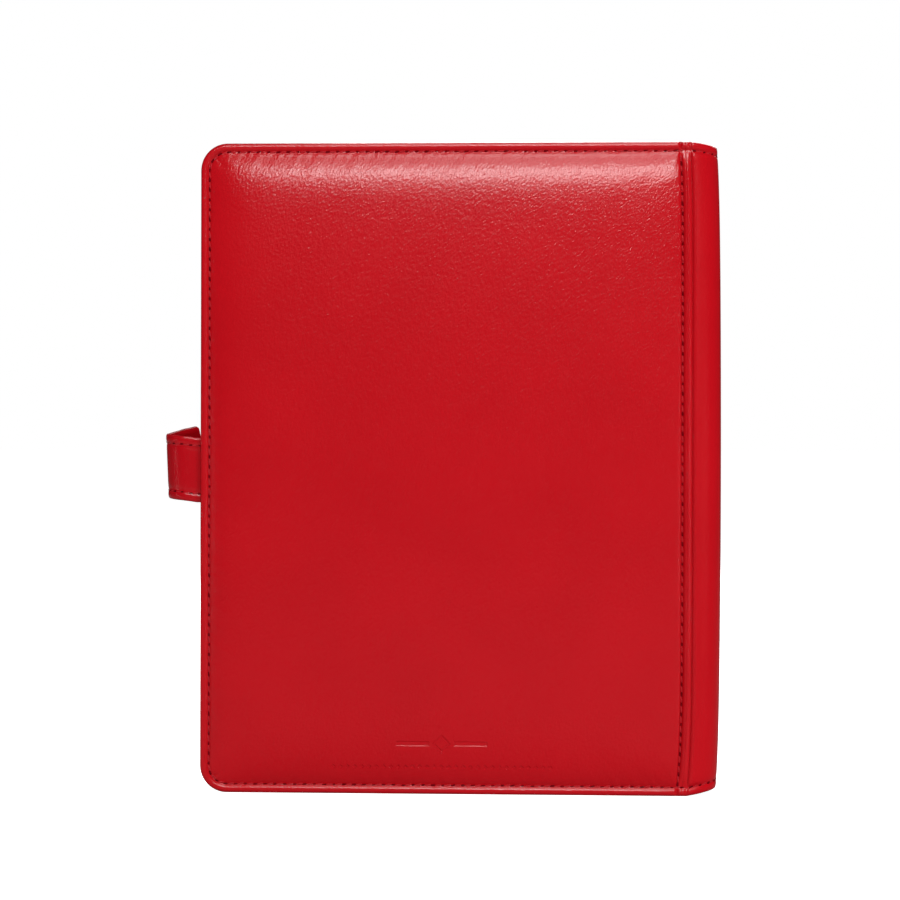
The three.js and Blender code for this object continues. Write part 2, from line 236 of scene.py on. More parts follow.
class Shader:
    """A new material and a short way to add and link its nodes."""

    def __init__(self, name):
        self.material = bpy.data.materials.new(name)
        self.material.use_nodes = True
        self.tree = self.material.node_tree
        self.surface = self.tree.nodes["Principled BSDF"]
        coordinates = self.tree.nodes.new("ShaderNodeTexCoord")
        scaled = self.tree.nodes.new("ShaderNodeMapping")
        scaled.inputs["Scale"].default_value = (1 / MM, 1 / MM, 1 / MM)
        self.tree.links.new(coordinates.outputs["Object"], scaled.inputs["Vector"])
        self.millimetres = scaled.outputs["Vector"]

    def node(self, kind, **settings):
        """A shader node of a kind, with its settings."""
        made = self.tree.nodes.new("ShaderNode" + kind)
        for key, value in settings.items():
            setattr(made, key, value)
        return made

    def link(self, output, target):
        self.tree.links.new(output, target)

    def noise(self, scale, detail=3.0, stretch=(1, 1, 1), turn=0.0):
        """Noise with a feature size of about 1 / scale mm, drawn out along axes turned about Y."""
        mapping = self.node("Mapping", vector_type="TEXTURE")
        mapping.inputs["Rotation"].default_value = (0, turn, 0)
        mapping.inputs["Scale"].default_value = stretch
        self.link(self.millimetres, mapping.inputs["Vector"])
        made = self.node("TexNoise")
        made.inputs["Scale"].default_value = scale
        made.inputs["Detail"].default_value = detail
        self.link(mapping.outputs["Vector"], made.inputs["Vector"])
        return made.outputs["Fac"]

    def cells(self, scale):
        """Rounded cells, each about 1 / scale mm across."""
        made = self.node("TexVoronoi", feature="SMOOTH_F1")
        made.inputs["Scale"].default_value = scale
        made.inputs["Smoothness"].default_value = 0.6
        self.link(self.millimetres, made.inputs["Vector"])
        return made.outputs["Distance"]

    def math(self, operation, first, second=0.0):
        """One step of arithmetic on two values, each a number or a node's output."""
        made = self.node("Math", operation=operation)
        for socket, value in zip(made.inputs, (first, second)):
            if isinstance(value, (int, float)):
                socket.default_value = value
            else:
                self.link(value, socket)
        return made.outputs["Value"]

    def between(self, fac, low, high):
        """Spreads a value from 0 to 1 over the range from low to high."""
        made = self.node("MapRange")
        made.inputs["To Min"].default_value = low
        made.inputs["To Max"].default_value = high
        self.link(fac, made.inputs["Value"])
        return made.outputs["Result"]

    def ramp(self, fac, stops):
        """Colours for a value from 0 to 1, from (place, colour) stops."""
        made = self.node("ValToRGB")
        elements = made.color_ramp.elements
        while len(elements) < len(stops):
            elements.new(0.5)
        for element, (place, colour) in zip(elements, stops):
            element.position = place
            element.color = (*colour, 1)
        self.link(fac, made.inputs["Fac"])
        return made.outputs["Color"]

    def bump(self, height, strength, distance, under=None):
        """A normal bumped by a height, over a distance in millimetres and over another bump."""
        made = self.node("Bump")
        made.inputs["Strength"].default_value = strength
        made.inputs["Distance"].default_value = distance * MM
        self.link(height, made.inputs["Height"])
        if under is not None:
            self.link(under, made.inputs["Normal"])
        return made.outputs["Normal"]

    def colour(self, output):
        self.link(output, self.surface.inputs["Base Color"])

    def roughness(self, output):
        self.link(output, self.surface.inputs["Roughness"])

    def normal(self, output):
        self.link(output, self.surface.inputs["Normal"])


def debossed_ornament(shader):
    """How deep the plain ornament is pressed in: two bars, a diamond between them, and a row of dots."""
    place = shader.node("SeparateXYZ")
    shader.link(shader.millimetres, place.inputs["Vector"])
    across = shader.math("SUBTRACT", place.outputs["X"], FORE_X / MM + ORNAMENT_X)
    beside = shader.math("ABSOLUTE", across)
    above = shader.math("ABSOLUTE", shader.math("SUBTRACT", place.outputs["Z"], BARS_Z))
    from_bar = shader.math("ABSOLUTE", shader.math("SUBTRACT", beside, BAR_MIDDLE))
    bar = shader.math(
        "MINIMUM",
        shader.math("SUBTRACT", BAR_LENGTH / 2, from_bar),
        shader.math("SUBTRACT", BAR_HEIGHT / 2, above),
    )
    from_centre = shader.math("ADD", beside, above)
    diamond = shader.math("SUBTRACT", DIAMOND_HALF, from_centre)
    hollow = shader.math("SUBTRACT", from_centre, DIAMOND_HALF - DIAMOND_LINE)
    dot_x = shader.math("PINGPONG", beside, DOT_PITCH / 2)
    dot_z = shader.math("ABSOLUTE", shader.math("SUBTRACT", place.outputs["Z"], DOTS_Z))
    dot = shader.math("SUBTRACT", DOT_RADIUS, shader.math("ADD", dot_x, dot_z))
    row_end = shader.math("SUBTRACT", DOTS_LENGTH / 2, beside)
    shapes = [bar, shader.math("MINIMUM", diamond, hollow), shader.math("MINIMUM", dot, row_end)]
    nearest = shader.math("MAXIMUM", shader.math("MAXIMUM", shapes[0], shapes[1]), shapes[2])
    edge = shader.node("MapRange", interpolation_type="SMOOTHSTEP")
    edge.inputs["From Min"].default_value = -0.12
    edge.inputs["From Max"].default_value = 0.22
    shader.link(nearest, edge.inputs["Value"])
    return edge.outputs["Result"]


def leather(name, dark, light, grain=1.0, gloss=0.19, shine=0.6, ornament=False):
    """Glossy coated leatherette: a fine grain, faint creasing and slow changes of colour."""
    shader = Shader(name)
    patches = shader.noise(0.03, 2.0)
    shader.colour(shader.ramp(patches, [(0.3, dark), (0.7, light)]))
    shader.roughness(shader.between(shader.noise(0.25, 4.0), gloss - 0.02, gloss + 0.05))
    creasing = shader.noise(0.3, 2.0, stretch=(1.0, 1.0, 2.2), turn=0.6)
    grain_cells = shader.noise(1.7, 1.0, stretch=(1.0, 1.0, 1.8), turn=0.6)
    normal = shader.bump(creasing, 0.5 * grain, 0.04)
    normal = shader.bump(grain_cells, 1.0 * grain, 0.09, under=normal)
    if ornament:
        pressed = shader.math("SUBTRACT", 1.0, debossed_ornament(shader))
        normal = shader.bump(pressed, 0.8, 0.2, under=normal)
    shader.normal(normal)
    shader.surface.inputs["Specular IOR Level"].default_value = shine
    return shader.material


def thread(name, dark, light):
    """Twisted sewing thread: fine slanting strands."""
    shader = Shader(name)
    strands = shader.node("TexWave", wave_type="BANDS", bands_direction="DIAGONAL")
    strands.inputs["Scale"].default_value = 3.0
    strands.inputs["Distortion"].default_value = 0.6
    shader.link(shader.millimetres, strands.inputs["Vector"])
    shader.colour(shader.ramp(strands.outputs["Fac"], [(0.2, dark), (0.8, light)]))
    shader.normal(shader.bump(strands.outputs["Fac"], 0.6, 0.05))
    shader.surface.inputs["Roughness"].default_value = 0.45
    shader.surface.inputs["Specular IOR Level"].default_value = 0.3
    return shader.material


def painted_hole_shade(name):
    """Painted shade in the pinched needle hole where the thread goes through: dark red, a little mottled."""
    shader = Shader(name)
    stops = [(0.3, (0.11, 0.001, 0.003)), (0.8, (0.22, 0.003, 0.008))]
    shader.colour(shader.ramp(shader.noise(1.5), stops))
    shader.surface.inputs["Roughness"].default_value = 0.9
    shader.surface.inputs["Specular IOR Level"].default_value = 0.05
    return shader.material


def woven_lining(name, dark, light):
    """Fine plain-weave lining cloth."""
    shader = Shader(name)
    weave = []
    for direction in ("X", "Z"):
        wave = shader.node("TexWave", wave_type="BANDS", bands_direction=direction)
        wave.inputs["Scale"].default_value = 0.55
        wave.inputs["Distortion"].default_value = 0.4
        shader.link(shader.millimetres, wave.inputs["Vector"])
        weave.append(wave.outputs["Fac"])
    woven = shader.math("MULTIPLY", weave[0], weave[1])
    slubs = shader.noise(0.15, 5.0)
    shade = shader.math("ADD", shader.math("MULTIPLY", woven, 0.5), shader.math("MULTIPLY", slubs, 0.6))
    shader.colour(shader.ramp(shade, [(0.2, dark), (0.9, light)]))
    shader.normal(shader.bump(woven, 0.5, 0.08))
    shader.surface.inputs["Roughness"].default_value = 0.82
    shader.surface.inputs["Sheen Weight"].default_value = 0.25
    return shader.material


def raw_board(name):
    """Grey recycled board with fibres."""
    shader = Shader(name)
    fibres = shader.noise(0.8, 6.0, stretch=(1, 1, 0.2))
    shader.colour(shader.ramp(fibres, [(0.3, (0.2, 0.18, 0.15)), (0.7, (0.36, 0.33, 0.28))]))
    shader.normal(shader.bump(fibres, 0.4, 0.1))
    shader.surface.inputs["Roughness"].default_value = 0.92
    return shader.material


def open_foam(name):
    """Pale foam with open cells."""
    shader = Shader(name)
    cells = shader.cells(1.6)
    shader.colour(shader.ramp(cells, [(0.1, (0.5, 0.47, 0.4)), (0.6, (0.83, 0.81, 0.74))]))
    shader.normal(shader.bump(cells, 0.8, 0.3))
    shader.surface.inputs["Roughness"].default_value = 0.95
    return shader.material


def weld_lines(shader):
    """1 on the welded lines round and between a leaf's pockets, 0 elsewhere."""
    place = shader.node("SeparateXYZ")
    shader.link(shader.millimetres, place.inputs["Vector"])
    gaps = [shader.math("SUBTRACT", place.outputs["X"], FORE_X / MM + x) for x in WELDS_X]
    gaps += [shader.math("SUBTRACT", place.outputs["Z"], z) for z in WELDS_Z]
    nearest = shader.math("ABSOLUTE", gaps[0])
    for gap in gaps[1:]:
        nearest = shader.math("MINIMUM", nearest, shader.math("ABSOLUTE", gap))
    weld = shader.node("MapRange", interpolation_type="SMOOTHSTEP")
    weld.inputs["From Min"].default_value = 0.9
    weld.inputs["From Max"].default_value = 0.6
    shader.link(nearest, weld.inputs["Value"])
    return weld.outputs["Result"]


def page_film(name):
    """Clear glossy film lying on a black backing: dark, slightly wavy, and dull along its welds."""
    shader = Shader(name)
    weld = weld_lines(shader)
    backing = shader.noise(1.8, 5.0)
    shade = shader.math("ADD", shader.math("MULTIPLY", backing, 0.5), shader.math("MULTIPLY", weld, 0.5))
    stops = [(0.15, (0.006, 0.006, 0.008)), (0.4, (0.02, 0.02, 0.024)), (0.8, (0.11, 0.11, 0.12))]
    shader.colour(shader.ramp(shade, stops))
    smears = shader.between(shader.noise(0.4, 3.0), 0.22, 0.34)
    shader.roughness(shader.math("ADD", smears, shader.math("MULTIPLY", weld, 0.3)))
    ripples = shader.noise(0.045, 3.0, stretch=(1, 1, 2))
    pressed = shader.bump(shader.math("SUBTRACT", 1.0, weld), 0.6, 0.15)
    shader.normal(shader.bump(ripples, 0.5, 1.2, under=pressed))
    shader.surface.inputs["Coat Weight"].default_value = 0.8
    shader.surface.inputs["Coat Roughness"].default_value = 0.06
    return shader.material


def welded_edge(name):
    """The stack of welded film edges, one fine line for each leaf."""
    shader = Shader(name)
    lines = shader.node("TexWave", wave_type="BANDS", bands_direction="Y")
    lines.inputs["Scale"].default_value = 0.35
    shader.link(shader.millimetres, lines.inputs["Vector"])
    stops = [(0.2, (0.006, 0.006, 0.007)), (0.8, (0.05, 0.05, 0.055))]
    shader.colour(shader.ramp(lines.outputs["Fac"], stops))
    shader.normal(shader.bump(lines.outputs["Fac"], 0.7, 0.2))
    shader.roughness(shader.between(shader.noise(0.9), 0.4, 0.6))
    return shader.material


def nickel(name):
    """Bright plated metal with fine handling scratches."""
    shader = Shader(name)
    scratches = shader.noise(1.4, 6.0, stretch=(1, 1, 6))
    shader.colour(shader.ramp(scratches, [(0.3, (0.56, 0.55, 0.52)), (0.7, (0.72, 0.71, 0.68))]))
    shader.roughness(shader.between(scratches, 0.16, 0.32))
    shader.normal(shader.bump(scratches, 0.15, 0.02))
    shader.surface.inputs["Metallic"].default_value = 1
    return shader.material


def pale_floor(name):
    """A matt, nearly white floor."""
    shader = Shader(name)
    shader.colour(shader.ramp(shader.noise(0.004), [(0.3, (0.86, 0.86, 0.86)), (0.7, (0.9, 0.9, 0.9))]))
    shader.surface.inputs["Roughness"].default_value = 0.85
    return shader.material


RED_DARK, RED_LIGHT = (0.53, 0.0036, 0.0090), (0.56, 0.0042, 0.0100)
STRAP_DARK, STRAP_LIGHT = (0.47, 0.0022, 0.0075), (0.53, 0.0028, 0.009)
STRAP_BACK_DARK, STRAP_BACK_LIGHT = (0.30, 0.0018, 0.005), (0.36, 0.0024, 0.007)
cover_leather = leather("red_leatherette", RED_DARK, RED_LIGHT)
back_leather = leather("red_leatherette_debossed", RED_DARK, RED_LIGHT, ornament=True)
spine_leather = leather("spine_leatherette", RED_DARK, RED_LIGHT, grain=0.7, gloss=0.3, shine=0.25)
strap_leather = leather("strap_leatherette", STRAP_DARK, STRAP_LIGHT, grain=0.7)
strap_back = leather(
    "strap_lining_leatherette", STRAP_BACK_DARK, STRAP_BACK_LIGHT, gloss=0.55, shine=0.0
)
red_thread = thread("red_thread", (0.40, 0.005, 0.012), (0.60, 0.022, 0.03))
# Painted shade for the needle holes.
hole_shade_material = painted_hole_shade("painted_hole_shade")
black_lining = woven_lining("black_lining", (0.006, 0.006, 0.007), (0.03, 0.03, 0.034))
greyboard = raw_board("greyboard")
foam = open_foam("foam")
leaf_film = page_film("leaf_film")
backbone_film = welded_edge("backbone_plastic")
snap_metal = nickel("snap_metal")


# ---- the covers' leather ----


def spaced(end, edge=6.0, fine=0.3, coarse=0.85):
    """Coordinates from 0 to end, close together near both ends."""
    low = np.arange(0, edge, fine)
    middle = np.linspace(edge, end - edge, round((end - 2 * edge) / coarse))
    return np.concatenate([low, middle, end - low[::-1]])


def round_corners(x, z, radius, start, bottom, top):
    """Bends the two free corners of a rectangle of points, where x is start, into arcs."""
    upper = z > (bottom + top) / 2
    in_x = np.maximum(radius - (x - start), 0)
    in_z = np.maximum(radius - np.where(upper, top - z, z - bottom), 0)
    scale = np.maximum(in_x, in_z) / np.maximum(np.hypot(in_x, in_z), 1e-9)
    bent_x = np.where(in_x > 0, start + radius - in_x * scale, x)
    from_end = radius - in_z * scale
    bent_z = np.where(upper, top - from_end, bottom + from_end)
    return bent_x, np.where(in_z > 0, bent_z, z)


def hinge_bow(x, z):
    """How far the sewn hinge bows towards the fore-edge at its two ends."""
    bottom = BOW_BOTTOM * np.exp(-z / BOW_BOTTOM_REACH)
    top = BOW_TOP * np.exp(-(HEIGHT - z) / BOW_TOP_REACH)
    on_cover = np.clip((x - BOW_START) / BOW_RAMP, 0, 1)
    on_spine = np.clip((SPINE_END - x) / SPINE_RADIUS, 0, 1)
    return (bottom + top) * on_cover**2 * (3 - 2 * on_cover) * on_spine


def hump(t):
    """A half-round profile over t from -1 to 1."""
    return np.sqrt(np.clip(1 - t * t, 0, 1))


def fill(distance, reach):
    """How far padding has risen at a distance from its sewn line, from 0 to 1."""
    return 1 - np.exp(-np.maximum(distance, 0) / reach)


def seam_pucker(distance, along, phase):
    """Small slanting gathers beside a sewn line, from each stitch and from the pull between them."""
    beyond = np.maximum(distance, 0)
    gather = np.cos(2 * np.pi * (along + 0.5 * distance) / PITCH) * np.exp(-beyond / GATHER_REACH)
    slanted = along + 0.7 * distance
    pull = np.sin(slanted / 1.1 + phase) + 0.8 * np.sin(slanted / 1.9 + 2 * phase)
    return GATHER_DEEP * gather + PULL_DEEP * pull * np.exp(-beyond / PULL_REACH)


def corner_creases(x, z):
    """Creases that fan out of the corners where the edge stitching meets the hinge stitching."""
    across = HINGE_STITCH + 1 - x
    creases = 0.0
    for up in (z - 1, HEIGHT - 1 - z):
        reach = np.hypot(across, up)
        fan = np.sin(FAN_CREASES * np.arctan2(up, across) + 0.5 * np.sin(reach / 2))
        creases = creases + FAN_DEEP * fan * fill(reach, FAN_START) * np.exp(-reach / FAN_REACH)
    return creases


def rolled_edge(distance):
    """The bound edge: a half-round roll as wide as the stitching's inset."""
    half = (STITCH_INSET - SEAM_HALF) / 2
    return ROLL_HIGH * hump((distance - half) / half)


def welt(x):
    """The narrow ridge between the stitching beside the spine and the crease."""
    half = (CREASE - HINGE_STITCH - SEAM_HALF) / 2
    return WELT_HIGH * hump((x - CREASE + half) / half)


def groove_depth(edge, reach=0.5):
    """1 in the sewn groove along a bound edge, falling to 0 beside it."""
    return np.exp(-np.maximum(edge - STITCH_INSET - SEAM_HALF, 0) / reach)


def ridge_end(edge):
    """How far the ridge has risen from its sewn end."""
    return 1 - 0.9 * groove_depth(edge, reach=3.0)


def pinch(x, place):
    """1 at a place across the case, falling to 0 within a millimetre."""
    return np.exp(-(((x - place) / 0.5) ** 2))


def cover_height(x, z, side):
    """How far the leather stands above the cover's inner face."""
    edge = np.minimum(np.minimum(x, z), HEIGHT - z)
    seam = STITCH_INSET + SEAM_HALF
    to_edges = (x - seam, z - seam, HEIGHT - z - seam, HINGE_STITCH - SEAM_HALF - x)
    still_to_rise = SLOW_SHARE * (1 - fill(to_edges[3], SLOW_REACH))
    hinge_rise = fill(to_edges[3], HINGE_REACH) * (1 - still_to_rise)
    crown = np.prod([fill(d, CROWN_REACH) for d in to_edges[:3]], axis=0) * hinge_rise
    swell = np.prod([fill(d, SWELL_REACH) for d in to_edges], axis=0)
    puff = np.prod([fill(d, LIP_REACH) for d in to_edges], axis=0)
    gathers = (
        seam_pucker(to_edges[0], z, 1.0 + side)
        + seam_pucker(to_edges[1], x, 2.0 + side)
        + seam_pucker(to_edges[2], x, 3.0 + side)
        + 0.6 * seam_pucker(to_edges[3], z, 4.0 + side)
        + corner_creases(x, z)
    )
    pad = LIP_HIGH * puff + CROWN_HIGH * crown + SWELL_HIGH * swell + gathers * puff
    inside = np.where(x > HINGE_STITCH, welt(x) * ridge_end(edge), pad)
    bound = rolled_edge(edge) * (1 - 0.8 * pinch(x, HINGE_STITCH))
    return SEAM_LEVEL + np.where(edge < STITCH_INSET, bound, inside)


def case_points(x, z, height, side):
    """Points at a height above a cover's inner face."""
    flat_x, flat_z = round_corners(x, z, FORE_CORNER, 0, 0, HEIGHT)
    bowed_x = flat_x - hinge_bow(x, z)
    return np.stack([bowed_x, side * (INNER_FACE + height), flat_z], axis=-1)


# How the leather turns over a cover's edge: (how far in from the edge, height above the inner face).
TURNED_EDGE = [(-0.05, 2.2), (-0.05, 1.0), (0.1, 0.35), (0.5, 0.03), (1.05, 0.0), (1.1, 0.45)]


def cover_skin(side, name, body):
    """A cover's padded leather, turned over its edge."""
    beside_seam = np.arange(HINGE_STITCH - 1.2, HINGE_STITCH + 0.6, 0.12)
    across = np.unique(np.concatenate([spaced(COVER_END), beside_seam]))
    x, z = np.meshgrid(across, spaced(HEIGHT))
    rows, columns = x.shape
    top = case_points(x, z, cover_height(x, z, side), side).reshape(-1, 3)
    faces = grid_faces(rows, columns, flip=side > 0)
    rim = rim_of_grid(rows, columns)
    rim_x, rim_z = x.reshape(-1)[rim], z.reshape(-1)[rim]
    count = len(rim)
    loops = []
    around = [rim]
    for inset, height in TURNED_EDGE:
        drawn_x = np.clip(rim_x, inset, COVER_END - max(inset, 0))
        drawn_z = np.clip(rim_z, inset, HEIGHT - inset)
        start = len(top) + len(loops) * count
        loops.append(case_points(drawn_x, drawn_z, np.full(count, height), side))
        around.append(range(start, start + count))
    for outer, inner in zip(around, around[1:]):
        for i in range(count):
            k = (i + 1) % count
            quad = (outer[k], outer[i], inner[i], inner[k])
            faces.append(quad[::-1] if side > 0 else quad)
    material = back_leather if side < 0 else cover_leather
    made = piece(name, np.vstack([top, *loops]), faces, material, body, "red_leatherette")
    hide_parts(f"{body}_skin")


def foam_pad(side, name, body):
    """The soft filling: as full as the leather over it, and thin at the sewn lines."""
    inset, under, bottom = 4.0, 0.8, 2.6
    across = np.linspace(inset, HINGE_STITCH - 1.5, 60)
    x, z = np.meshgrid(across, np.linspace(inset, HEIGHT - inset, 80))
    top = np.maximum(cover_height(x, z, side) - under, bottom + 0.05)
    upper = case_points(x, z, top, side)
    lower = case_points(x, z, np.full(x.shape, bottom), side)
    made = piece(name, *slab(upper, lower, flip=side > 0), foam, body, "foam")
    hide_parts(name)


foam_pad(-1, "back_foam_pad", "back_cover")
foam_pad(1, "front_foam_pad", "front_cover")
cover_skin(-1, "back_cover_leather", "back_cover")
cover_skin(1, "front_cover_leather", "front_cover")


# ---- the creases and the spine ----


def end_sink(z):
    """How far the spine's leather lies below its surface, in the bound and sewn edges at its ends."""
    edge = np.minimum(z, HEIGHT - z)
    return np.where(edge < STITCH_INSET, ROLL_HIGH - rolled_edge(edge), 0.9 * ROLL_HIGH * groove_depth(edge))


def crease_height(x, z):
    """The narrow welt beside the spine, the crease, and the rise to the spine's shoulder."""
    shoulder = ROLL_HIGH * hump((SPINE_START - x) / (SPINE_START - CREASE))
    edge = np.minimum(z, HEIGHT - z)
    across = np.where(x < CREASE, welt(x) * ridge_end(edge), shoulder * (1 - 0.9 * groove_depth(edge)))
    bound = np.maximum(rolled_edge(edge) - 0.35 * pinch(x, CREASE), 0)
    return SEAM_LEVEL + np.where(edge < STITCH_INSET, bound, across)


def spine_taper(x, z):
    """Heights on the spine, whose ends are cut back more the further they are from the covers."""
    out = np.clip((x - CREASE) / (SPINE_END - CREASE), 0, 1) ** TAPER_CURVE
    drawn = np.where(z > HEIGHT / 2, TAPER_TOP, TAPER_BOTTOM) * out
    return HEIGHT / 2 + (z - HEIGHT / 2) * (1 - drawn / (HEIGHT / 2))


def crease_strip(side, name, node):
    """The strip of leather between a cover and the spine, over the crease where the case bends."""
    thick, end_gap = 0.9, 0.4
    beside_cover = np.linspace(COVER_END, CREASE, 8)
    beside_spine = np.linspace(CREASE, SPINE_START, 9)
    across = np.concatenate([beside_cover, beside_spine[1:]])
    x, z = np.meshgrid(across, spaced(HEIGHT))
    rows = len(x)
    bowed = x - hinge_bow(x, z)
    surface = side * (INNER_FACE + crease_height(x, z))
    outside = np.stack([bowed, surface, spine_taper(x, z)], axis=-1)
    inside = outside - np.array([0, side * thick, 0])
    inside[..., 2] = np.clip(inside[..., 2], end_gap, HEIGHT - end_gap)
    columns = len(across)
    ring = np.concatenate([outside, inside[:, ::-1]], axis=1)
    faces = grid_faces(rows, 2 * columns, round_columns=True, flip=side > 0)
    for row in (0, rows - 1):
        start = row * 2 * columns
        for j in range(columns - 1):
            far = 2 * columns - 1
            quad = (start + j, start + far - j, start + far - j - 1, start + j + 1)
            faces.append(quad if (row == 0) == (side < 0) else quad[::-1])
    made = piece(name, ring.reshape(-1, 3), faces, cover_leather, slot="red_leatherette")
    level = side * (INNER_FACE + SEAM_LEVEL)
    start, end = to_frame([[x, level, HEIGHT / 2] for x in (SPINE_START, COVER_END)])
    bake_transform(made)
    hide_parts(node)


crease_strip(-1, "back_crease_leather", "back_hinge_strip")
crease_strip(1, "front_crease_leather", "front_hinge_strip")


def spine_contour(sink):
    """The spine's outline from the back crease round to the front one, drawn in by sink."""
    radius = SPINE_RADIUS - sink
    back = []
    for turn in np.linspace(0, np.pi / 2, 14):
        back.append((SPINE_START + radius * math.sin(turn), -SPINE_FLAT_HALF - radius * math.cos(turn)))
    middle = []
    for y in np.linspace(-SPINE_FLAT_HALF, SPINE_FLAT_HALF, 8)[1:-1]:
        swell = 0.25 * math.cos(y / SPINE_FLAT_HALF * math.pi / 2)
        middle.append((SPINE_START + radius + swell, y))
    front = [(x, -y) for x, y in reversed(back)]
    return np.array(back + middle + front)


def spine_row(z, lift=0.0):
    """The spine's outline at a height, lifted off its surface if lift says so."""
    plain = spine_contour(0.0)
    outward = spine_contour(-1.0) - plain
    reach = np.clip((plain[:, 0] - SPINE_START) / SPINE_RADIUS, 0, 1)
    hollow = HOLLOW_DEEP * math.exp(-min(z, HEIGHT - z) / HOLLOW_REACH)
    sink = end_sink(z) * (1 - 0.6 * reach) + hollow * reach - lift
    moved = plain - outward * sink[:, None]
    heights = spine_taper(moved[:, 0], z)
    moved[:, 0] += BELLY * reach * math.sin(math.pi * z / HEIGHT) - hinge_bow(plain[:, 0], z)
    return np.column_stack([moved, heights])


def spine_skin():
    """The spine's leather, turned in at both ends: (lift off the surface, how far in from the end)."""
    turned = [(-1.0, 6.0), (-0.9, 0.3), (-0.4, 0.0)]
    bottom = [spine_row(0.0, lift) + (0, 0, inside) for lift, inside in turned]
    top = [spine_row(HEIGHT, lift) - (0, 0, inside) for lift, inside in reversed(turned)]
    rows = bottom + [spine_row(z) for z in spaced(HEIGHT, coarse=3.0)] + top
    faces = grid_faces(len(rows), len(rows[0]))
    made = piece("spine_leather", np.vstack(rows), faces, spine_leather, "spine", "red_leatherette")
    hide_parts("spine_skin")


spine_skin()


# ---- stitching ----


def resampled(path, step):
    """Points about a step apart along a path, with the last one at its end."""
    path = np.asarray(path, float)
    run = run_along(path)
    count = max(round(run[-1] / step), 1)
    wanted = np.linspace(0, run[-1], count + 1)
    return np.stack([np.interp(wanted, run, path[:, k]) for k in range(path.shape[1])], axis=1)


def capsule(length, radius, flatten, steps=8, rings=6):
    """A rounded bar along local X, as (points, faces)."""
    turns = np.linspace(0, 2 * np.pi, steps, endpoint=False)
    rows = []
    for i in range(rings + 1):
        half_turn = math.pi * i / rings
        along = -math.cos(half_turn) * length / 2
        size = radius * math.sin(half_turn) ** 0.6 if 0 < i < rings else 0.02
        rows.append([(along, size * math.cos(turn), flatten * size * math.sin(turn)) for turn in turns])
    return np.array(rows).reshape(-1, 3), grid_faces(rings + 1, steps, round_columns=True)


def sewing(name, path, normals, body=None, pitch=PITCH, size=1.0):
    """A row of stitches along a surface path, and between each two a dark capsule of painted shade for the
    needle hole. Returns both pieces.
    """
    both = resampled(np.hstack([path, normals]), pitch)
    spots, ups = both[:, :3], both[:, 3:]
    ups = ups / np.linalg.norm(ups, axis=1, keepdims=True)
    bar, bar_faces = capsule(THREAD_SHARE * pitch, THREAD_RADIUS * size, 0.8)
    # Painted shade for the needle holes: flat dark capsules lifted just off the surface.
    hole_shade, hole_shade_faces = capsule(HOLE_SHADE_SHARE * pitch, HOLE_SHADE_RADIUS * size, 0.5)
    threads, hole_shades = [], []
    for i in range(len(spots) - 1):
        direction = spots[i + 1] - spots[i]
        direction /= np.linalg.norm(direction)
        up = ups[i]
        across = np.cross(up, direction)
        slant = direction + across * rng.uniform(0.1, 0.35)
        axes = np.stack([slant / np.linalg.norm(slant), across, up])
        wander = across * rng.uniform(-0.08, 0.08)
        middle = (spots[i] + spots[i + 1]) / 2 + wander
        threads.append((bar @ axes + middle + up * THREAD_LIFT * size, bar_faces))
        shape = hole_shade * (rng.uniform(0.6, 1.2), rng.uniform(0.8, 1.35), 1)
        hole_shades.append((shape @ axes + spots[i] + wander + up * HOLE_SHADE_LIFT * size, hole_shade_faces))
    made = []
    for suffix, parts, material in (("thread", threads, red_thread), ("hole_shades", hole_shades, hole_shade_material)):
        points, faces = joined(parts)
        made.append(piece(f"{name}_{suffix}", points, faces, material, body, "red_leatherette"))
    return made


def on_cover(flat, side):
    """A path on a cover's face, from (x, z) pairs."""
    x, z = np.asarray(flat, float).T
    points = case_points(x, z, np.full(len(x), SEAM_LEVEL), side)
    return points, np.tile([0.0, float(side), 0.0], (len(x), 1))


def cover_sewing(side, body):
    """The stitching round a cover's three free edges and the row beside the spine."""
    inset, end = STITCH_INSET, COVER_END
    samples = 400  # points along the case's height, so that the paths follow its curves
    outline = [(end, inset), (inset, inset), (inset, HEIGHT - inset), (end, HEIGHT - inset)]
    flat = resampled(outline, HEIGHT / samples)
    sewing(f"{body}_edge_stitching", *on_cover(flat, side), body)
    seam = [(HINGE_STITCH, z) for z in np.linspace(inset + 1, HEIGHT - inset - 1, samples)]
    sewing(f"{body}_hinge_stitching", *on_cover(seam, side), body)


cover_sewing(-1, "back_cover")
cover_sewing(1, "front_cover")


def spine_sewing():
    """The stitching across the spine's bound ends."""
    for name, z in (("bottom", STITCH_INSET), ("top", HEIGHT - STITCH_INSET)):
        path = spine_row(z)
        sewing(f"spine_{name}_stitching", path, spine_row(z, lift=1.0) - path, "spine")


spine_sewing()


# ---- the strap ----


def tab_bow(y):
    """How far the tab bows out between its fold and the snap."""
    along = np.clip((y - STRAP_FOLD_Y) / (SNAP_Y - SNAP_REACH - STRAP_FOLD_Y), 0, 1)
    return TAB_BOW * math.sin(math.pi * along) ** 2


def strap_line():
    """The strap's middle line seen from above, from inside the back cover's edge to the tip."""
    centre = (STRAP_BEND_X + STRAP_BEND_RADIUS, STRAP_ROOT_Y + STRAP_BEND_RADIUS)
    tip_start = STRAP_TIP_Y - STRAP_TIP_RADIUS
    line = [(x, STRAP_ROOT_Y) for x in np.linspace(STRAP_START_X, centre[0], 9)[:-1]]
    for turn in np.linspace(0, np.pi / 2, 16):
        x = centre[0] - STRAP_BEND_RADIUS * math.sin(turn)
        y = centre[1] - STRAP_BEND_RADIUS * math.cos(turn)
        line.append((x, y))
    for y in np.linspace(centre[1], STRAP_FOLD_Y, 22)[1:]:
        line.append((STRAP_BEND_X, y))
    for y in np.linspace(STRAP_FOLD_Y, tip_start, 24)[1:]:
        line.append((STRAP_BEND_X - tab_bow(y), y))
    for turn in np.linspace(0, np.pi / 2, 12)[1:]:
        line.append((STRAP_BEND_X, tip_start + STRAP_TIP_RADIUS * math.sin(turn)))
    return np.array(line)


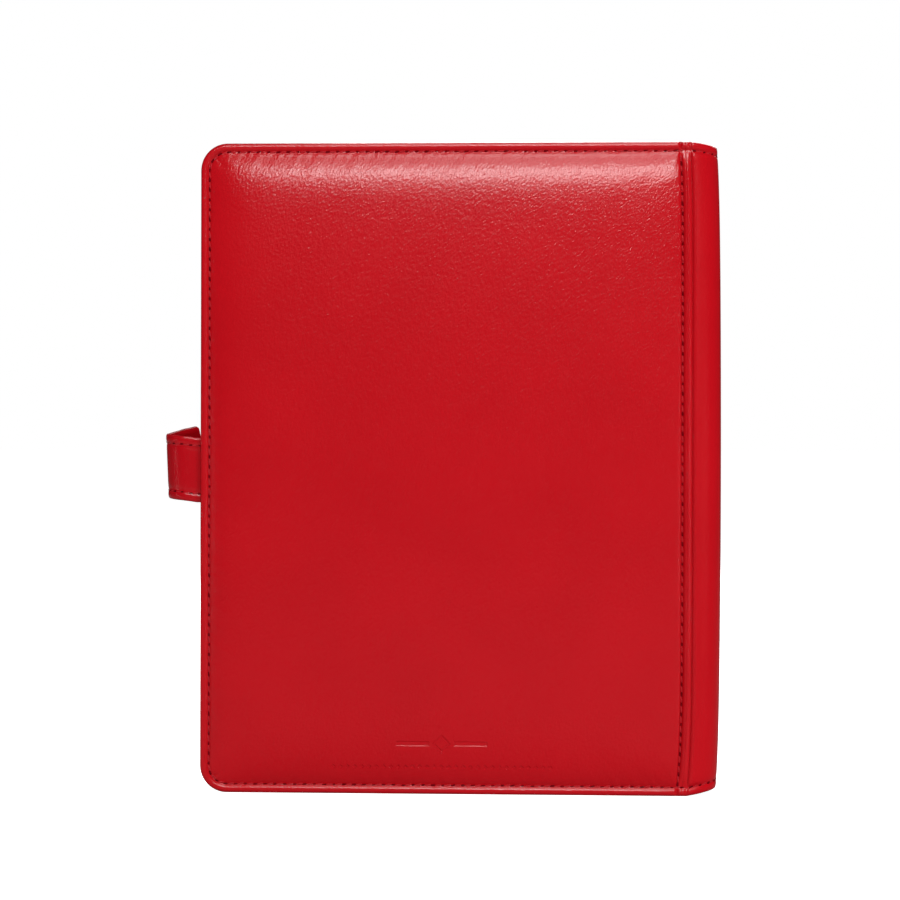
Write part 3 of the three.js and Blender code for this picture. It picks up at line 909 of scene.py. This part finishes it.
def strap_frames():
    """For each point of the strap's line: its place, outward direction, height, half width and lean."""
    line = strap_line()
    ahead = np.gradient(line, axis=0)
    ahead /= np.linalg.norm(ahead, axis=1, keepdims=True)
    outward = np.column_stack([-ahead[:, 1], ahead[:, 0]])
    run = run_along(line) - STRAP_LEVEL_RUN
    free = np.maximum(run, 0)
    heights = HEIGHT / 2 + STRAP_SLOPE * free - STRAP_SAG * np.exp(-free / STRAP_SAG_REACH)
    into_tip = np.clip(line[:, 1] - (STRAP_TIP_Y - STRAP_TIP_RADIUS), 0, STRAP_TIP_RADIUS - 0.05)
    half = STRAP_HALF - STRAP_TIP_RADIUS + np.sqrt(STRAP_TIP_RADIUS**2 - into_tip**2)
    lean = STRAP_LEAN * np.clip(run / 6, 0, 1) * np.exp(-np.maximum(run - 12, 0) / 10)
    return line, outward, heights, half, lean


def strap_outer(half):
    """The outer leather's section as (across, outward) pairs, with a rolled edge outside each seam."""
    seam = half - STRAP_SEAM
    lower_edge = np.linspace(-half, -seam, 8)
    face = np.linspace(-seam, seam, 15)[1:-1]
    section = []
    for across in np.concatenate([lower_edge, face, -lower_edge[::-1]]):
        beyond = abs(across) - seam
        roll = STRAP_ROLL * float(hump(2 * beyond / STRAP_SEAM - 1))
        cushion = STRAP_CUSHION * (1 - math.exp(-max(-beyond, 0) / 0.8))
        section.append((across, STRAP_FACE + (roll if beyond > 0 else cushion)))
    section += [(across, -0.1) for across in np.linspace(half, -half, 8)]
    section.append((-half - 0.12, 0.2))
    return section


def strap_lining(half):
    """The lining's section: a flat band with softened edges, a little narrower than the leather."""
    width = half - 0.35
    against_leather = [(across, -0.12) for across in np.linspace(-width, width, 8)]
    face = [(across, -0.92 + 0.3 * (abs(across) / width) ** 8) for across in np.linspace(width, -width, 14)]
    return against_leather + face


def strap_point(i, across, off, frames):
    """The place that is across the strap and off its middle line, at the line's point i."""
    line, outward, heights, _, lean = frames
    x, y = line[i] + outward[i] * off
    return (x + lean[i] * (STRAP_HALF - across), y, heights[i] + across)


def strap_layer(name, section_of, material, indices):
    """One layer of the strap over a stretch of its line. The caps have their own vertices."""
    frames = strap_frames()
    half = frames[3]
    rows = [[strap_point(i, across, off, frames) for across, off in section_of(half[i])] for i in indices]
    columns = len(rows[0])
    faces = grid_faces(len(rows), columns, round_columns=True, flip=True)
    count = len(rows) * columns
    faces.append(tuple(count + j for j in range(columns)))
    faces.append(tuple(count + columns + j for j in reversed(range(columns))))
    points = np.array([*rows, rows[0], rows[-1]]).reshape(-1, 3)
    made = piece(name, points, faces, material, slot="red_strap")
    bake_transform(made)
    return made


def strap_sewing(name, indices):
    """The rows of stitches near the strap's lower and upper edges, up to where the tip narrows."""
    frames = strap_frames()
    line, outward, _, half, _ = frames
    kept = [i for i in indices if line[i, 1] < STRAP_TIP_Y - STRAP_SEAM]
    for side, label in ((-1, "lower"), (1, "upper")):
        points = [strap_point(i, side * (half[i] - STRAP_SEAM), STRAP_FACE, frames) for i in kept]
        normals = [(outward[i, 0], outward[i, 1], 0) for i in kept]
        for made in sewing(f"{name}_{label}_stitching", points, normals, pitch=3.0, size=0.9):
            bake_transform(made)


def strap():
    """The strap in two stretches: one round the bend at the back cover's edge, the other from just past it,
    over the tab's fold, out to the tip.
    """
    line = strap_line()
    split = int(np.argmax(line[:, 1] > STRAP_SPLIT_Y))
    near, far = range(0, split + 1), range(split, len(line))
    near_outer = strap_layer("strap_root_leather", strap_outer, strap_leather, near)
    near_lining = strap_layer("strap_root_lining", strap_lining, strap_back, near)
    far_outer = strap_layer("strap_leather", strap_outer, strap_leather, far)
    far_lining = strap_layer("strap_lining", strap_lining, strap_back, far)
    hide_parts("strap_base_outer", "strap_anchor")
    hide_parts("strap_base_lining")
    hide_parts("strap_tab_outer")
    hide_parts("strap_tab_lining")
    strap_sewing("strap_root", range(2, split + 1))
    strap_sewing("strap", far)


strap()


# ---- the snap ----

# Turned profiles as (radius, how far out from the strap's middle line).
SNAP_CAP = [
    (0.02, 3.0), (2.2, 2.95), (3.9, 2.7), (4.7, 2.35), (5.0, 2.0), (5.15, 1.95), (5.7, 1.95),
    (5.85, 1.6), (5.8, 1.2), (5.5, 1.0), (1.7, 0.95), (1.7, -1.0), (0.02, -1.0),
]
SNAP_SOCKET = [
    (2.75, -2.1), (3.2, -2.25), (4.5, -2.2), (4.8, -1.95), (4.8, -1.2), (4.6, -1.05), (2.75, -1.05),
    (2.75, -2.1),
]


def snap():
    """The snap's cap outside the tab and its socket inside, at the strap's middle height there."""
    line = strap_line()
    on_tab = line[:, 1] >= STRAP_FOLD_Y
    along = np.interp(SNAP_Y, line[on_tab, 1], run_along(line)[on_tab])
    z = HEIGHT / 2 + STRAP_SLOPE * (along - STRAP_LEVEL_RUN)
    centre = np.array([STRAP_BEND_X, SNAP_Y, z])
    parts = (("snap_cap_shell", SNAP_CAP, "snap_cap"), ("snap_socket_ring", SNAP_SOCKET, "snap_socket"))
    for name, profile, node in parts:
        made = piece(name, *lathe(profile, centre, (-1, 0, 0)), snap_metal, "strap_tab", "snap_metal")
        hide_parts(node)


snap()


# ---- leaves ----


def pocket_rise(x, z):
    """How far the film stands off the backing: flat on the welds, slightly full over each pocket."""
    rise = np.zeros_like(x)
    for low_x, high_x in zip(WELDS_X, WELDS_X[1:]):
        for low_z, high_z in zip(WELDS_Z, WELDS_Z[1:]):
            inside = np.minimum.reduce([x - low_x, high_x - x, z - low_z, high_z - z]) - 1
            rise = np.maximum(rise, fill(inside, 2.0) * (inside > 0))
    return rise


def leaf(index):
    """One welded leaf: the grid has extra lines beside each weld, and its free corners are round."""
    name = f"page_{index + 1:02d}"
    middle = ((LEAF_COUNT - 1) / 2 - index) * LEAF_PITCH
    beside = np.array([-1.1, 0.0, 1.1])
    across = [np.linspace(LEAF_LOW, LEAF_HIGH, 27)] + [weld + beside for weld in WELDS_X]
    up = [np.linspace(LEAF_BOTTOM, LEAF_TOP, 31)] + [weld + beside for weld in WELDS_Z]
    x, z = np.meshgrid(np.unique(np.concatenate(across)), np.unique(np.concatenate(up)))
    flat_x, flat_z = round_corners(x, z, LEAF_CORNER, LEAF_LOW, LEAF_BOTTOM, LEAF_TOP)
    half = LEAF_HALF + POCKET_HIGH * pocket_rise(x, z)
    front = np.stack([flat_x, middle + half, flat_z], axis=-1)
    back = np.stack([flat_x, middle - half, flat_z], axis=-1)
    made = piece(f"{name}_leaf", *slab(front, back, flip=True), leaf_film, name, "leaf_film")
    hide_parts(name)


for number in range(LEAF_COUNT):
    leaf(number)


def dress(material, *nodes):
    """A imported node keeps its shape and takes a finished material."""
    for node in nodes:
        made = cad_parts[node]
        made.data.materials.clear()
        made.data.materials.append(material)


dress(black_lining, "back_cover_lining", "front_cover_lining", "spine_lining")
dress(greyboard, "back_cover_board", "front_cover_board", "spine_board")
dress(backbone_film, "page_backbone")
dress(snap_metal, "snap_stud", "snap_rivet")


# ---- floor, light and camera ----


def camera_rays_only(tree, low, high):
    """A value that is high for what the camera sees directly and low for the light it gives."""
    seen = tree.nodes.new("ShaderNodeLightPath")
    value = tree.nodes.new("ShaderNodeMapRange")
    value.inputs["To Min"].default_value = low
    value.inputs["To Max"].default_value = high
    tree.links.new(seen.outputs["Is Camera Ray"], value.inputs["Value"])
    return value.outputs["Result"]


def studio():
    """A pale floor and a plain white world that look bright but give little light."""
    floor_material = pale_floor("pale_floor")
    tree = floor_material.node_tree
    surface = tree.nodes["Principled BSDF"]
    surface.inputs["Emission Color"].default_value = (1, 1, 1, 1)
    tree.links.new(camera_rays_only(tree, 0.0, 1.0), surface.inputs["Emission Strength"])
    pale = surface.inputs["Base Color"].links[0].from_socket
    dimmed = tree.nodes.new("ShaderNodeVectorMath")
    dimmed.operation = "SCALE"
    tree.links.new(pale, dimmed.inputs["Vector"])
    tree.links.new(camera_rays_only(tree, 0.19, 1.0), dimmed.inputs["Scale"])
    tree.links.new(dimmed.outputs["Vector"], surface.inputs["Base Color"])
    bpy.ops.mesh.primitive_plane_add(size=400, location=(0, 0, 0))
    floor = bpy.context.object
    floor.name = "floor"
    floor.data.materials.append(floor_material)
    world = bpy.data.worlds.new("studio")
    bpy.context.scene.world = world
    world.use_nodes = True
    background = world.node_tree.nodes["Background"]
    background.inputs["Color"].default_value = (1, 1, 1, 1)
    lit = camera_rays_only(world.node_tree, 0.03, 1.0)
    world.node_tree.links.new(lit, background.inputs["Strength"])


def softbox(name, place, aim, size, power, glossy=True):
    """A rectangular light at a place, facing aim. One that isn't glossy shows in no reflection."""
    light = bpy.data.lights.new(name, "AREA")
    light.shape = "RECTANGLE"
    light.size, light.size_y = size
    light.energy = power
    lamp = bpy.data.objects.new(name, light)
    bpy.context.collection.objects.link(lamp)
    lamp.visible_glossy = glossy
    lamp.location = place
    lamp.rotation_mode = "QUATERNION"
    lamp.rotation_quaternion = (Vector(aim) - Vector(place)).to_track_quat("-Z", "Y")


def camera():
    """A level camera a little to the spine's side, rolled very slightly."""
    azimuth = math.radians(2.7)
    roll = math.radians(0.12)
    distance = 0.8
    view_width = 298.17 * MM  # what the picture spans at the target
    sensor_width = 36
    target = Vector(to_frame([[83.2, -13.0, 114.1]])[0])
    lens = bpy.data.cameras.new("camera")
    lens.sensor_width = sensor_width
    lens.lens = sensor_width * distance / view_width
    eye = bpy.data.objects.new("camera", lens)
    bpy.context.collection.objects.link(eye)
    eye.location = target + distance * Vector((math.sin(azimuth), -math.cos(azimuth), 0))
    eye.rotation_mode = "QUATERNION"
    level = (target - eye.location).to_track_quat("-Z", "Y")
    eye.rotation_quaternion = level @ Quaternion((0, 0, 1), roll)
    bpy.context.scene.camera = eye


studio()
# Each light's place, aim and (width, height) are in metres, and its power is in watts.
softbox("sheen_strip", (0.04, -1.15, 0.67), (0.0, -0.04, 0.2), (0.58, 0.2), 4.5)
softbox("upper_strip", (0.04, -1.0, 0.95), (0.0, -0.04, 0.2), (0.58, 0.2), 1.2)
softbox("overhead", (0.06, -0.7, 1.2), (0, -0.04, 0.2), (0.5, 0.4), 2.9)
softbox("key", (0.8, -0.9, 0.1), (0, -0.04, 0.05), (0.6, 0.2), 7.4, glossy=False)
softbox("fill", (-0.9, -0.4, 0.08), (0, -0.04, 0.03), (0.4, 0.15), 2.7, glossy=False)
softbox("behind", (0.3, 1.1, 1.0), (0, 0, 0.1), (1.0, 0.8), 20)
softbox("behind_low", (-0.7, 1.0, 0.3), (0, 0, 0.1), (0.8, 0.8), 9, glossy=False)
camera()
bpy.context.scene.view_settings.view_transform = "Standard"
bpy.context.scene.view_settings.look = "None"
